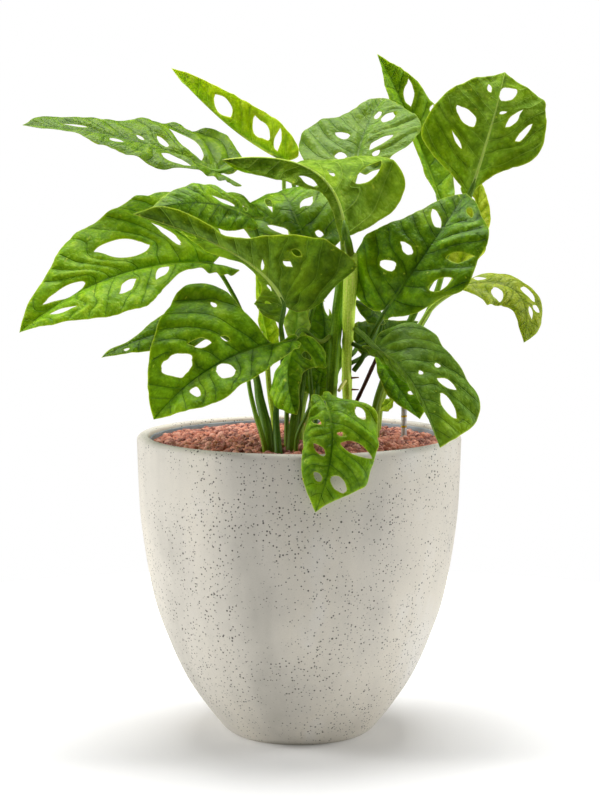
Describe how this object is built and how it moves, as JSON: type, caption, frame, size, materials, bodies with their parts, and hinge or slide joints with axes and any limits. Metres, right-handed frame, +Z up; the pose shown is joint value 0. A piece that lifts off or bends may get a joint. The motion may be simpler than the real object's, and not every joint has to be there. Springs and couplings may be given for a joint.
{
  "type": "potted monstera obliqua",
  "caption": "Potted climbing foliage plant with large oval leaves pierced by long holes, in a round-bottomed stone-like planter filled with clay granules and fitted with a water gauge.",
  "frame": {"origin": "centre of the flat underside of the pot, on the surface it stands on", "axes": "+Z up along the pot's axis; -Y is the side that faces the viewer and +X the viewer's right"},
  "size_m": [0.534, 0.3568, 0.717],
  "materials": {
    "pot_composite": "matt cast composite with fine dark pores",
    "liner_plastic": "matt blue-grey moulded plastic",
    "clay_granules": "matt baked clay pebbles, salmon to dark purple-brown",
    "gauge_clear": "clear moulded plastic",
    "float_red": "glossy red",
    "leaf_green": "satin to glossy green leaf with lighter veins and margins",
    "stalk_green": "smooth green stem with pale streaks and nodes",
    "stalk_dry": "dry, dark brown, matt"
  },
  "bodies": {
    "root": {"planter_pot": "pot_composite", "planter_liner": "liner_plastic", "granule_bed": "clay_granules", "gauge_tube": "gauge_clear", "gauge_collar": "gauge_clear", "gauge_cap": "gauge_clear", "gauge_float": "float_red", "stalk_right": "stalk_green", "stalk_left": "stalk_green", "stalk_dead": "stalk_dry", "leaf_far_left": "leaf_green", "leaf_top_left": "leaf_green", "leaf_big_left": "leaf_green", "leaf_left_arch": "leaf_green", "leaf_centre_arch": "leaf_green", "leaf_inner": "leaf_green", "leaf_crown": "leaf_green", "leaf_top_mid": "leaf_green", "leaf_top_spear": "leaf_green", "leaf_top_right": "leaf_green", "leaf_right_dark": "leaf_green", "leaf_right_back": "leaf_green", "leaf_right_low": "leaf_green", "leaf_right_fold": "leaf_green", "leaf_right_small": "leaf_green", "leaf_low_left": "leaf_green", "leaf_low_left_back": "leaf_green", "leaf_front": "leaf_green", "leaf_centre_fold": "leaf_green", "leaf_narrow": "leaf_green", "leaf_pale": "leaf_green", "leaf_centre_back": "leaf_green", "leaf_right_behind": "leaf_green", "leaf_right_shade": "leaf_green", "leaf_small_pale": "leaf_green"}
  },
  "joints": []
}
